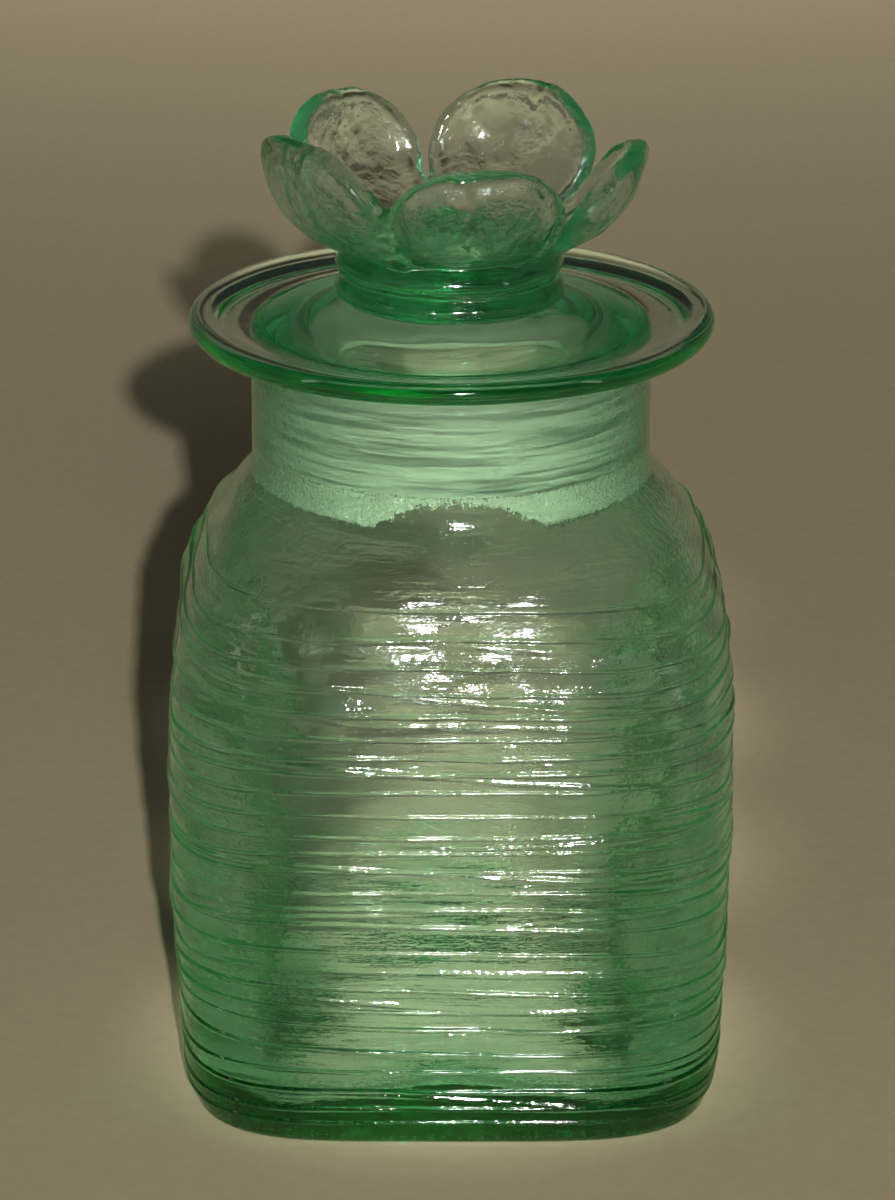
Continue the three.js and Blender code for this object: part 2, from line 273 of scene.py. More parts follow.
def glass_material(name, clear_rough=0.006, lump=0.00003, ground=False, crizzle=0.0, wear=False, threads=False, density=ABSORB_DENSITY):
    """Blown glass. `ground` reads two attributes, ground (fine wheel-ground seat) and
    coarse (unpolished grinding). crizzle is the depth in metres of a pinched skin."""
    m = Nodes(name)
    co = m.add("ShaderNodeTexCoord").outputs["Object"]
    # fire-polished skin: all but clear, with faint patches of haze
    haze = m.noise(co, 90.0, 3.0, 0.55)
    rough = m.ramp(haze, 0.35, 0.8, clear_rough, clear_rough + 0.03)
    # lumps a few mm wide, as left by the tools
    n1 = m.noise(co, 160.0, 2.0, 0.5, 0.3)
    normal = m.bump(n1, lump, 1.0)
    if crizzle > 0:
        c1 = m.noise(co, 620.0, 3.0, 0.6, 0.8)
        c2 = m.noise(m.scaled(co, (1.0, 1.0, 0.6)), 1500.0, 2.0, 0.6, 0.3)
        patch = m.ramp(m.noise(co, 110.0, 2.0, 0.5), 0.40, 0.60)
        normal = m.bump(m.math("MULTIPLY", c1, patch), crizzle, 1.0, normal)
        normal = m.bump(m.math("MULTIPLY", c2, patch), crizzle * 0.25, 1.0, normal)
    if threads:
        # fine level cords in the skin, left by the winding
        cord = m.noise(m.scaled(co, (0.05, 0.05, 1.0)), 900.0, 2.0, 0.55)
        fleck = m.noise(m.scaled(co, (0.5, 0.5, 1.0)), 1300.0, 2.0, 0.5)
        normal = m.bump(cord, 0.00013, 1.0, normal)
        normal = m.bump(fleck, 0.00009, 1.0, normal)
    if wear:
        w = m.add("ShaderNodeAttribute", attribute_name="wear").outputs["Fac"]
        scratch = m.noise(m.scaled(co, (1.0, 0.25, 1.0)), 900.0, 4.0, 0.7)
        rough = m.mix(m.math("MULTIPLY", w, m.ramp(scratch, 0.42, 0.62)), rough, 0.38)
    if ground:
        g = m.add("ShaderNodeAttribute", attribute_name="ground").outputs["Fac"]
        c = m.add("ShaderNodeAttribute", attribute_name="coarse").outputs["Fac"]
        grain = m.noise(co, 2600.0, 2.0, 0.6)
        speck = m.noise(co, 520.0, 3.0, 0.65)
        edge = m.math("ADD", m.math("MULTIPLY", m.math("SUBTRACT", speck, 0.5), 1.3),
                      m.math("MULTIPLY", m.math("SUBTRACT", grain, 0.5), 0.9))
        gm = m.ramp(m.math("ADD", g, m.math("MULTIPLY", edge, 0.25)), 0.42, 0.58)
        cm = m.ramp(m.math("ADD", c, edge), 0.38, 0.62)
        # the wheel's lines run round the axis: the noise hardly changes with x and y
        lines = m.noise(m.scaled(co, (0.012, 0.012, 1.0)), 2200.0, 3.0, 0.75)
        wide = m.noise(m.scaled(co, (0.02, 0.02, 1.0)), 420.0, 2.0, 0.6)
        g_rough = m.ramp(m.math("ADD", m.math("MULTIPLY", lines, 0.6), m.math("MULTIPLY", wide, 0.4)), 0.35, 0.65, 0.40, 0.62, smooth=False)
        c_rough = m.ramp(grain, 0.35, 0.65, 0.30, 0.62, smooth=False)
        rough = m.mix(gm, rough, g_rough)
        rough = m.mix(cm, rough, c_rough)
        h_lines = m.math("MULTIPLY", lines, gm)
        normal = m.bump(h_lines, 0.00006, 1.0, normal)
        normal = m.bump(m.math("MULTIPLY", grain, cm), 0.00016, 1.0, normal)
    b = m.add("ShaderNodeBsdfPrincipled")
    b.inputs["Base Color"].default_value = (1, 1, 1, 1)
    b.inputs["Metallic"].default_value = 0.0
    b.inputs["IOR"].default_value = GLASS_IOR
    b.inputs["Transmission Weight"].default_value = 1.0
    m.link(rough, b.inputs["Roughness"])
    m.link(normal, b.inputs["Normal"])
    v = m.add("ShaderNodeVolumeAbsorption")
    v.inputs["Color"].default_value = ABSORB_COLOR
    v.inputs["Density"].default_value = density
    out = m.add("ShaderNodeOutputMaterial")
    m.link(b.outputs["BSDF"], out.inputs["Surface"])
    m.link(v.outputs["Volume"], out.inputs["Volume"])
    return m.mat


# =====================================================================
# Jar: body, shoulder, ground neck, with the trailed thread melted on
# =====================================================================
RIM_Z = 154.2
SOCKET_LOW = 131.0
KICK = [  # underside, from the middle out: half-width, height, plan exponent
    [0.01, 2.6, 2.0], [6.0, 2.55, 2.0], [15.0, 2.3, 2.4], [28.0, 1.5, 3.0], [37.0, 0.5, 3.6],
    [40.0, 0.12, 3.9], [42.0, 0.0, 4.1], [46.5, 0.0, 4.3], [50.7, 0.03, 4.5],
]
WALL = [
    [50.7, 0.03, 4.5], [52.0, 0.45, 4.5], [53.0, 1.4, 4.5], [53.7, 3.2, 4.5], [54.3, 6.2, 4.6],
    [54.8, 12.0, 4.7], [55.4, 24.0, 4.7], [56.1, 40.0, 4.8], [56.5, 60.0, 4.7], [56.4, 80.0, 4.5],
    [55.4, 94.0, 4.2], [53.7, 103.0, 3.9], [51.5, 109.0, 3.6], [49.0, 114.0, 3.2], [46.5, 118.0, 2.9],
    [44.1, 121.5, 2.6], [41.9, 124.5, 2.3], [40.4, 127.0, 2.08], [40.0, 130.0, 2.0],
]
NECK = [
    [40.0, 130.0, 2], [40.0, 142.0, 2], [40.0, 151.8, 2], [39.85, 153.3, 2], [39.3, 154.0, 2],
    [38.6, 154.2, 2], [37.5, 154.2, 2], [36.8, 153.9, 2], [36.38, 153.2, 2],
]
SOCKET = [[36.38, 153.2, 2], [36.0, 145.5, 2], [35.6, 137.0, 2], [35.35, SOCKET_LOW, 2], [35.4, 128.0, 2], [35.8, 125.6, 2.02]]
INSIDE = [
    [35.8, 125.6, 2.02], [37.2, 123.2, 2.1], [39.9, 120.8, 2.3], [43.4, 117.6, 2.5], [47.2, 112.0, 2.85],
    [50.3, 104.0, 3.15], [52.3, 94.0, 3.3], [53.4, 80.0, 3.35], [53.5, 60.0, 3.3], [52.7, 40.0, 3.15],
    [51.3, 26.0, 3.05], [49.9, 17.5, 3.0], [48.2, 12.0, 3.0], [45.2, 9.0, 3.0], [40.4, 7.7, 3.0],
    [34.0, 7.3, 2.9], [24.0, 7.6, 2.6], [12.0, 8.3, 2.3], [0.01, 8.7, 2],
]

COLS = 144
SEAM = 135.0          # direction of the corner where the winding's turns are counted from


def column_angles(cols):
    """Directions round the plan, closer together at the corners, from the seam."""
    per = cols // 4
    s = np.arange(per) / per
    q = 90.0 * (s + 0.5 * np.sin(2 * np.pi * s) / (2 * np.pi))
    a = np.concatenate([q + 90 * k for k in range(4)])
    k = int(np.argmin(np.abs(a - SEAM)))
    return np.radians(np.concatenate([a[k:], a[:k] + 360.0]))


ANG = column_angles(COLS)

# ---- the thread's path: height of its middle after so many turns
PITCH = [1.30, 1.0, 1.15, 0.8, 1.2, 1.15, 0.75, 1.05, 1.3, 0.85, 1.1, 0.8, 1.2,
         0.9, 0.75, 1.15, 1.25, 0.85, 0.95, 0.8, 1.1, 1.2, 0.85, 1.05, 0.95, 1.0]
TURNS = len(PITCH)
THREAD_TOP, THREAD_LOW = 114.5, 3.2
LEVEL = THREAD_TOP - (THREAD_TOP - THREAD_LOW) * np.concatenate([[0], np.cumsum(PITCH)]) / np.sum(PITCH)

_rng = np.random.RandomState(7)
AMP = _rng.uniform(0.25, 1.05, TURNS + 1)
PH1 = _rng.uniform(0, 6.283, TURNS + 1)
PH2 = _rng.uniform(0, 6.283, TURNS + 1)
PH3 = _rng.uniform(0, 6.283, TURNS + 1)
WID = _rng.uniform(0.44, 0.62, TURNS + 2)


def thread_height(turn):
    """Height of the thread's middle, and its half-width, after `turn` turns (array)."""
    k = np.clip(np.floor(turn).astype(int), 0, TURNS - 1)
    t = np.clip(turn, 0, TURNS) - k
    s = smooth01(t)
    base = LEVEL[k] + (LEVEL[k + 1] - LEVEL[k]) * t
    fade = np.clip(np.minimum(turn, TURNS - turn) / 1.2, 0, 1)
    tilt = 0.8 * np.sin(2 * np.pi * turn + 0.9 + 0.35 * turn) + 0.25 * np.sin(6 * np.pi * turn + 0.5 * turn)

    def wander(j):
        return AMP[j] * (np.sin(2 * np.pi * t + PH1[j]) + 0.45 * np.sin(6 * np.pi * t + PH2[j]) + 0.18 * np.sin(14 * np.pi * t + PH3[j]))

    w = (1 - s) * WID[k] + s * WID[k + 1]
    w = w * (1 + 0.16 * np.sin(2 * np.pi * 2.3 * turn + 1.0) + 0.10 * np.sin(2 * np.pi * 9.1 * turn))
    return base + (tilt + (1 - s) * wander(k) + s * wander(k + 1)) * fade, w


STRAYS = [  # start direction (deg), span (deg), start z, end z, half-width, height
    (-170, 150, 101.0, 93.0, 0.50, 0.42), (-60, 130, 88.5, 99.5, 0.55, 0.46),
    (-140, 120, 84.0, 76.0, 0.50, 0.40), (-100, 140, 66.0, 74.5, 0.50, 0.42),
    (-175, 170, 62.5, 58.0, 0.55, 0.46), (-95, 110, 49.0, 54.0, 0.45, 0.40),
    (-150, 160, 41.0, 36.5, 0.50, 0.46), (-120, 120, 24.0, 29.0, 0.50, 0.42),
    (-70, 150, 15.0, 20.0, 0.45, 0.40), (30, 160, 92.0, 84.0, 0.55, 0.42),
    (60, 140, 58.0, 66.0, 0.5, 0.4), (20, 170, 33.0, 27.0, 0.5, 0.42),
    (100, 150, 104.0, 97.0, 0.5, 0.4), (130, 140, 46.0, 51.0, 0.5, 0.4),
    (-165, 120, 110.0, 104.5, 0.5, 0.42), (-40, 120, 108.0, 101.5, 0.5, 0.4),
    (-130, 110, 12.0, 8.0, 0.5, 0.42), (-60, 100, 71.0, 64.5, 0.5, 0.4),
    (-115, 90, 92.0, 88.0, 0.55, 0.44), (-85, 75, 57.0, 62.0, 0.45, 0.4), (-125, 80, 33.0, 30.0, 0.45, 0.4),
]


class WallSkin:
    """The smooth outer wall as a surface over arc length s (from the foot up) and direction."""

    def __init__(self):
        rows = spline(WALL, 0.12)
        self.s = np.concatenate([[0], np.cumsum(np.hypot(np.diff(rows[:, 0]), np.diff(rows[:, 1])))])
        self.half, self.z, self.n = rows[:, 0], rows[:, 1], np.maximum(rows[:, 2], 2.0)
        self.length = self.s[-1]

    def s_of_z(self, z):
        return np.interp(z, self.z, self.s)

    def at(self, s, a):
        half, z, n = (np.interp(s, self.s, v) for v in (self.half, self.z, self.n))
        r = plan_r(half, n, a)
        X, Y, Z = r * np.cos(a), r * np.sin(a), z + 0 * a
        # hand work: the faces aren't quite flat or true, and the wall is drawn out in
        # long level waves between the threads, broadest below the shoulder
        body = np.clip((126 - z) / 14, 0, 1) * np.clip((z - 1.5) / 9, 0, 1)
        high = smooth01((z - 74.0) / 22.0)
        dr = 0.30 * waves(X, Y, Z, 11, 70.0, 3)
        dr = dr + (0.26 + 0.30 * high) * waves(0.3 * X, 0.3 * Y, Z, 12, 9.5, 2)
        dr = dr + (0.06 + 0.05 * high) * waves(0.12 * X, 0.12 * Y, Z, 13, 2.8, 2)
        dr = dr * body
        return np.stack([X + dr * np.cos(a), Y + dr * np.sin(a), Z], -1)

    def at_with_normal(self, s, a):
        e = 0.15
        P = self.at(s, a)
        ds = self.at(np.clip(s + e, 0, self.length), a) - self.at(np.clip(s - e, 0, self.length), a)
        da = self.at(s, a + 0.004) - self.at(s, a - 0.004)
        N = np.cross(da, ds)
        return P, N / np.maximum(np.linalg.norm(N, axis=-1, keepdims=True), 1e-9)


def bead(d, width, height):
    return np.clip(1 - (d / width) ** 2, 0, 1) ** 0.75 * height


def jar_vessel():
    skin = WallSkin()
    nc = COLS
    m = 18                                   # rows between one turn and the next
    strips = TURNS + 1
    rows_n = strips * m + 1
    u = np.arange(nc + 1) / nc
    ang = np.concatenate([ANG, [ANG[0] + 2 * np.pi]])
    s_top, s_low = skin.s_of_z(THREAD_TOP), skin.s_of_z(THREAD_LOW)

    def centre(tau):
        """Arc length of the thread's middle; before the first turn it waits at the top."""
        z, w = thread_height(np.clip(tau - 1, 0, TURNS))
        s = skin.s_of_z(z)
        s = np.where(tau <= 1, s_top, np.where(tau >= TURNS + 1, s_low, np.clip(s, s_low, s_top)))
        on = smooth01((s_top - s - 0.25) / 1.0) * smooth01((s - s_low - 0.25) / 1.0)
        return s, w, on

    near = np.array([0.0, 0.13, 0.26, 0.38, 0.50, 0.66])
    S = np.zeros((nc + 1, rows_n))
    H = np.zeros((nc + 1, rows_n))
    for k in range(strips):
        s1, w1, on1 = centre(k + u)
        s2, w2, on2 = centre(k + 1 + u)
        pitch = np.maximum(s1 - s2, 0.0)
        scale = np.minimum(1.0, pitch / 2.2)
        up = near[None, :] * (w1 / 0.5 * scale)[:, None]
        dn = near[None, :] * (w2 / 0.5 * scale)[:, None]
        inner = m + 1 - 2 * len(near)
        f = (np.arange(inner) + 1) / (inner + 1)
        a0, a1 = up[:, -1:], (pitch - dn[:, -1])[:, None]
        mid = a0 + (a1 - a0) * f[None, :]
        off = np.concatenate([up, mid, pitch[:, None] - dn[:, ::-1]], 1)
        s = s1[:, None] - off
        S[:, k * m:(k + 1) * m + 1] = s
        h1 = bead(s1[:, None] - s, w1[:, None], 0.80 * (w1 * on1)[:, None])
        h2 = bead(s - s2[:, None], w2[:, None], 0.80 * (w2 * on2)[:, None])
        H[:, k * m:(k + 1) * m + 1] = np.maximum(h1, h2) + 0.35 * np.minimum(h1, h2)
    A = ang[:, None] + 0 * S
    zz = np.interp(S, skin.s, skin.z)
    dirs = np.degrees(A)
    for start, span, z0, z1, w, hh in STRAYS:
        t = ((dirs - start) % 360.0) / span
        on = smooth01(np.clip(np.minimum(t, 1 - t) * 9, 0, 1)) * (t < 1)
        line = z0 + (z1 - z0) * smooth01(np.clip(t, 0, 1)) + 0.6 * np.sin(t * 7 + z0)
        b = bead(zz - line, w, hh) * on
        H = np.maximum(H, b) + 0.35 * np.minimum(H, b)
    P, N = skin.at_with_normal(S, A)
    if (N[nc // 2, rows_n // 2] * P[nc // 2, rows_n // 2]).sum() < 0:
        N = -N
    P = P + N * H[..., None]
    # number the vertices: the last column is the first one, a turn further down
    ids = np.arange(nc * rows_n).reshape(nc, rows_n)
    ids[0, :m] = ids[0, m]
    col0 = ids[0]
    last = col0[np.minimum(np.arange(rows_n) + m, rows_n - 1)]
    ids = np.vstack([ids, last[None, :]])
    verts = [P[:nc].reshape(-1, 3)]
    q = np.stack([ids[:-1, :-1], ids[:-1, 1:], ids[1:, 1:], ids[1:, :-1]], -1).reshape(-1, 4)
    faces = []
    for f in q.tolist():
        g = [v for i, v in enumerate(f) if v != f[i - 1]]
        if len(set(g)) >= 3:
            faces.append(g)
    top_loop, low_loop = ids[:nc, 0], ids[:nc, -1]
    base = nc * rows_n

    # ---- plain rows above and below
    a = ANG[None, :]

    def rows_of(profile, spacing):
        r = spline(profile, spacing)
        return r[:, 0], r[:, 1], np.maximum(r[:, 2], 2.0)

    def shell(half, z, n):
        r = plan_r(half[:, None], n[:, None], a)
        return np.stack([r * np.cos(a), r * np.sin(a), z[:, None] + 0 * r], -1)

    kick = shell(*rows_of(KICK, 2.6))[:-1]
    s_a = np.linspace(0, s_low, 12)[:-1]
    foot = skin.at(s_a[:, None] + 0 * a, a + 0 * s_a[:, None])
    s_b = np.linspace(s_top, skin.length, 30)[1:-1]
    shoulder = skin.at(s_b[:, None] + 0 * a, a + 0 * s_b[:, None])
    neck = shell(*rows_of(NECK, 1.3))[:-1]
    socket = shell(*rows_of(SOCKET, 1.2))[:-1]
    hi, zi, ni = rows_of(INSIDE, 2.1)
    # the floor is thicker in the middle of each side than in the corners
    inner = shell(hi, zi, ni)
    X, Y, Z = inner[..., 0], inner[..., 1], inner[..., 2]
    body = np.clip((126 - Z) / 20, 0, 1) * np.clip(hi[:, None] / 20, 0, 1)
    dr = (0.50 * waves(X, Y, Z, 23, 36.0, 3) + 0.34 * waves(0.35 * X, 0.35 * Y, Z, 5, 13.0, 2)) * body
    low = smooth01((26.0 - Z) / 16.0)
    edge = smooth01((hi[:, None] - 18.0) / 26.0)
    Z = Z + 2.9 * np.cos(4 * a) * low * edge + 0.3 * waves(X, Y, 0 * Z, 31, 40.0, 2) * low * np.clip(hi[:, None] / 10, 0, 1)
    X, Y = X + dr * np.cos(a), Y + dr * np.sin(a)
    inner = np.stack([X, Y, Z], -1)

    for blk in (kick, foot, shoulder, neck, socket, inner):
        verts.append(blk.reshape(-1, 3))

    def loops(start, n):
        return [np.arange(start + k * nc, start + (k + 1) * nc) for k in range(n)]

    below = loops(base, len(kick) + len(foot)) + [low_loop]
    start = base + nc * (len(kick) + len(foot))
    n_above = len(shoulder) + len(neck) + len(socket) + len(inner)
    above = [top_loop] + loops(start, n_above)
    for chain in (below, above):
        for lo, hi_ in zip(chain[:-1], chain[1:]):
            l2, h2 = np.roll(lo, -1), np.roll(hi_, -1)
            faces += np.stack([lo, l2, h2, hi_], -1).tolist()
    V = np.vstack(verts)
    p0, p1 = len(V), len(V) + 1
    first, lastl = below[0], above[-1]
    V = np.vstack([V, [[0, 0, V[first, 2].mean()]], [[0, 0, V[lastl, 2].mean()]]])
    faces += [[p0, first[(i + 1) % nc], first[i]] for i in range(nc)]
    faces += [[p1, lastl[i], lastl[(i + 1) % nc]] for i in range(nc)]
    V[:, 2] = np.maximum(V[:, 2], 0.0)
    # ---- where the glass is ground: the seat; a coarse band below it, bare at the front
    count = len(V)
    lo_in = base + nc * (len(kick) + len(foot) + len(shoulder) + len(neck))
    inside = np.zeros(count, bool)
    inside[lo_in:count - 2] = True
    n_sock = nc * len(socket)
    zf = V[:, 2]
    aa = np.arctan2(V[:, 1], V[:, 0])
    rr = np.hypot(V[:, 0], V[:, 1])
    in_neck = inside & (zf > 118)
    in_neck |= (np.arange(count) >= lo_in - nc * len(neck)) & (np.arange(count) < lo_in) & (rr < 37.6) & (zf > 150)
    ground = np.where(in_neck, smooth01((zf - (SOCKET_LOW + 0.2)) / 0.8 + 0.5), 0.0)
    low_e = 123.6 + 0.4 * np.sin(2 * aa + 1)
    coarse = np.where(in_neck, smooth01((zf - low_e) / 1.6 + 0.5) * (1 - ground), 0.0)
    front = np.degrees((aa + math.pi / 2 + math.pi) % (2 * math.pi) - math.pi) - 2.0
    bare = smooth01((27.0 - np.abs(front)) / 9.0 + 0.5)
    bare = bare * smooth01((SOCKET_LOW - 0.6 - 5.6 * (front / 25.0) ** 2 - zf) / 4.2 + 0.5)
    coarse = coarse * (1 - bare)
    outer = np.zeros(count, bool)
    outer[base:base + nc * (len(kick) + len(foot))] = True
    wear = outer * np.clip(1.2 - zf * 2.2, 0, 1) * np.clip((rr - 38.0) / 2, 0, 1)
    ob = make_mesh("jar_vessel", V, faces, {"ground": ground, "coarse": coarse, "wear": wear})
    me = ob.data
    # drop the unused numbers, and turn the faces out
    import bmesh
    bm = bmesh.new()
    bm.from_mesh(me)
    bmesh.ops.delete(bm, geom=[v for v in bm.verts if not v.link_faces], context="VERTS")
    bmesh.ops.recalc_face_normals(bm, faces=bm.faces)
    if bm.calc_volume(signed=True) < 0:
        bmesh.ops.reverse_faces(bm, faces=bm.faces)
    open_edges = sum(1 for e in bm.edges if len(e.link_faces) != 2)
    print("jar_vessel: faces", len(bm.faces), "edges not shared by two faces", open_edges)
    bm.to_mesh(me)
    bm.free()
    me.shade_smooth()
    return ob


def ground_film():
    """The skin of the ground seat and of the rough band below it, a tenth of a
    millimetre inside the neck. The attributes seat and band say where each of them is."""
    line = np.array([[36.36, 153.3], [36.0, 145.5], [35.6, 137.0], [35.35, 131.0], [35.4, 128.0], [35.8, 125.6], [36.45, 124.2], [37.2, 123.2]])
    pts = spline(line, 0.6)
    t = np.gradient(pts, axis=0)
    t /= np.linalg.norm(t, axis=1, keepdims=True)
    nrm = np.stack([t[:, 1], -t[:, 0]], 1)
    if (nrm[:, 0] > 0).mean() > 0.5:
        nrm = -nrm
    cols = 288
    a = (np.arange(cols) / cols * 2 * math.pi)[None, :]
    skins = []
    for off in (0.05, 0.11):
        q = pts + nrm * off
        skins.append(np.stack([q[:, :1] * np.cos(a), q[:, :1] * np.sin(a), q[:, 1:] + 0 * a], -1))
    P = np.concatenate([skins[0], skins[1][::-1]])
    rows = len(P)
    idx = np.arange(rows * cols).reshape(rows, cols)
    idx = np.vstack([idx, idx[:1]])
    l, h = idx[:-1], idx[1:]
    F = np.stack([l, np.roll(l, -1, 1), np.roll(h, -1, 1), h], -1).reshape(-1, 4).tolist()
    z = P[..., 2]
    aa = a + 0 * z
    seat = smooth01((z - SOCKET_LOW - 0.2) / 0.8 + 0.5)
    front = np.degrees((aa + math.pi / 2 + math.pi) % (2 * math.pi) - math.pi) - 2.0
    bare = smooth01((27.0 - np.abs(front)) / 9.0 + 0.5)
    bare = bare * smooth01((SOCKET_LOW - 0.6 - 5.6 * (front / 25.0) ** 2 - z) / 4.2 + 0.5)
    band = (1 - seat) * (1 - bare) * smooth01((z - 123.4) / 0.8)
    V = P.reshape(-1, 3)
    ob = make_mesh("ground_film", V, F, {"seat": seat.ravel(), "band": band.ravel()})
    import bmesh
    bm = bmesh.new()
    bm.from_mesh(ob.data)
    bmesh.ops.recalc_face_normals(bm, faces=bm.faces)
    if bm.calc_volume(signed=True) < 0:
        bmesh.ops.reverse_faces(bm, faces=bm.faces)
    bm.to_mesh(ob.data)
    bm.free()
    ob.data.shade_smooth()
    return ob


def film_material():
    m = Nodes("ground_film")
    co = m.add("ShaderNodeTexCoord").outputs["Object"]
    seat = m.add("ShaderNodeAttribute", attribute_name="seat").outputs["Fac"]
    band = m.add("ShaderNodeAttribute", attribute_name="band").outputs["Fac"]
    lines = m.noise(m.scaled(co, (0.03, 0.03, 1.0)), 1500.0, 3.0, 0.75)
    wide = m.noise(m.scaled(co, (0.05, 0.05, 1.0)), 330.0, 2.0, 0.6)
    sep = m.add("ShaderNodeSeparateXYZ")
    m.link(co, sep.inputs[0])
    height = sep.outputs["Z"]
    grain = m.noise(co, 2600.0, 2.0, 0.6)
    speck = m.noise(co, 520.0, 3.0, 0.65)
    both = m.math("ADD", m.math("MULTIPLY", lines, 0.55), m.math("MULTIPLY", wide, 0.45))
    # the seat's cover thins to about half towards its top, just under the flange: painted shade of the flange's shadow
    a_seat = m.math("MULTIPLY", m.ramp(both, 0.45, 0.55, 0.0, 0.34, smooth=False), m.ramp(height, 0.134, 0.153, 1.0, 0.55))
    edge = m.math("ADD", m.math("MULTIPLY", m.math("SUBTRACT", speck, 0.5), 2.2), m.math("MULTIPLY", m.math("SUBTRACT", grain, 0.5), 1.0))
    b_mask = m.ramp(m.math("ADD", band, edge), 0.40, 0.60)
    a_band = m.math("MULTIPLY", b_mask, m.ramp(grain, 0.42, 0.64, 0.10, 0.80, smooth=False))
    alpha = m.math("ADD", m.math("MULTIPLY", seat, a_seat), m.math("MULTIPLY", m.math("SUBTRACT", 1.0, seat), a_band), clamp=True)
    b = m.add("ShaderNodeBsdfPrincipled")
    b.inputs["Base Color"].default_value = (0.76, 0.82, 0.60, 1)
    b.inputs["Roughness"].default_value = 0.95
    b.inputs["Specular IOR Level"].default_value = 0.2
    m.link(alpha, b.inputs["Alpha"])
    out = m.add("ShaderNodeOutputMaterial")
    m.link(b.outputs["BSDF"], out.inputs["Surface"])
    return m.mat


jar = jar_vessel()
jar.data.materials.append(glass_material("jar_glass", 0.07, 0.00007, ground=True, wear=True, threads=True))
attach(jar, "jar")
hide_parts("jar_base", "jar_walls", "jar_neck", "thread_trail_shoulder", "thread_trail_middle", "thread_trail_lower")

film = ground_film()
film.data.materials.append(film_material())
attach(film, "jar")

# =====================================================================
# Stopper: flange, dome, hollow ground plug
# =====================================================================
FLANGE_Z = 154.5


def stopper_shell():
    top = [[0.01, 161.0], [10.0, 161.0], [19.5, 161.0], [22.0, 160.85], [26.0, 160.4], [31.0, 159.5], [35.0, 158.55],
           [37.6, 157.7], [39.0, 157.3], [40.8, 157.2], [43.4, 157.4], [45.8, 157.95], [48.0, 158.7], [49.7, 159.2],
           [51.1, 159.05], [52.1, 158.2], [52.45, 157.0], [52.15, 155.8], [51.2, 154.95], [49.6, 154.65], [46.0, 154.75],
           [42.5, 154.75], [40.5, 154.55], [39.0, 154.5]]
    seat = [[39.0, 154.5], [37.4, 154.5], [36.6, 154.25], [36.12, 153.6]]
    plug = [[36.12, 153.6], [35.75, 145.0], [35.4, 137.5], [35.15, 132.6]]
    lip = [[35.15, 132.6], [34.85, 131.85], [34.2, 131.5], [33.3, 131.5], [32.3, 131.65], [31.7, 132.4], [31.5, 133.4]]
    hollow = [[31.5, 133.4], [31.4, 140.0], [31.45, 147.0], [31.0, 150.5], [29.6, 153.4], [27.0, 155.4], [22.0, 156.8],
              [14.0, 157.6], [6.0, 157.9], [0.01, 158.0]]
    segs = [spline(top, 0.8)[:-1], spline(seat, 0.5)[:-1], spline(plug, 1.1)[:-1], spline(lip, 0.45)[:-1], spline(hollow, 1.2)]
    kind = np.concatenate([np.full(len(p), i) for i, p in enumerate(segs)])
    rows = np.vstack(segs)
    cols = 224
    a = (np.arange(cols) / cols * 2 * math.pi)[None, :]
    r, z = rows[:, 0:1], rows[:, 1:2]
    X, Y, Z = r * np.cos(a), r * np.sin(a), z + 0 * a
    flange = np.clip((r - 40) / 8, 0, 1)
    hol = (kind == 4)[:, None]
    # a spun rim: a little out of round and out of flat, and the bead isn't even
    up = ((kind == 0)[:, None] & (z > 155.2))
    dz = 0.22 * np.sin(2 * a + 0.6) * flange * up + 0.10 * np.sin(5 * a + 2.0) * flange * up
    dr = 0.12 * np.sin(3 * a + 1.0) * flange + 0.10 * waves(X, Y, Z, 3, 30.0, 2) * flange
    dz = dz + 0.16 * waves(X, Y, Z, 9, 26.0, 2) * np.clip((r - 24) / 8, 0, 1) * np.clip((39 - r) / 6, 0, 1) * up
    dr = dr + np.where(hol, 0.30 * waves(X, Y, Z, 17, 30.0, 3) * np.clip(r / 20, 0, 1), 0)
    dz = dz + np.where(hol, 0.25 * waves(X, Y, Z, 19, 26.0, 2) * np.clip(r / 8, 0, 1) * np.clip((31 - r) / 4, 0, 1), 0)
    X, Y, Z = X + dr * np.cos(a), Y + dr * np.sin(a), Z + dz
    P = np.stack([X, Y, Z], -1)
    g = (kind == 2) * 1.0 + (kind == 1) * np.clip((154.3 - rows[:, 1]) / 0.5, 0, 1) + (kind == 3) * np.clip((132.6 - rows[:, 1]) / 0.3, 0, 1) * np.clip((rows[:, 0] - 32.3) / 0.6, 0, 1)
    ground = np.clip(g, 0, 1)[:, None] + 0 * a
    m = P.mean(axis=1)
    return revolve("stopper_shell", P, (0, 0, m[0, 2]), (0, 0, m[-1, 2]), {"ground": ground, "coarse": 0 * ground})


stopper = stopper_shell()
stopper.data.materials.append(glass_material("stopper_glass", 0.06, 0.00005, ground=True, density=42.0))
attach(stopper, "stopper")
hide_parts("stopper_body")

# =====================================================================
# Knob: two rings and five pinched petals, melted into one
# =====================================================================
CUP_Z = 171.9
PETALS = [  # direction, tip radius, tip height, widest half-angle, seed
    ("front", -80, 34.4, 196.8, 35.0, 1), ("right", -8, 37.4, 194.2, 34.0, 2),
    ("back_right", 64, 35.4, 198.2, 35.0, 3), ("back_left", 136, 33.4, 198.4, 34.0, 4),
    ("left", 213, 37.0, 199.2, 36.5, 5),
]


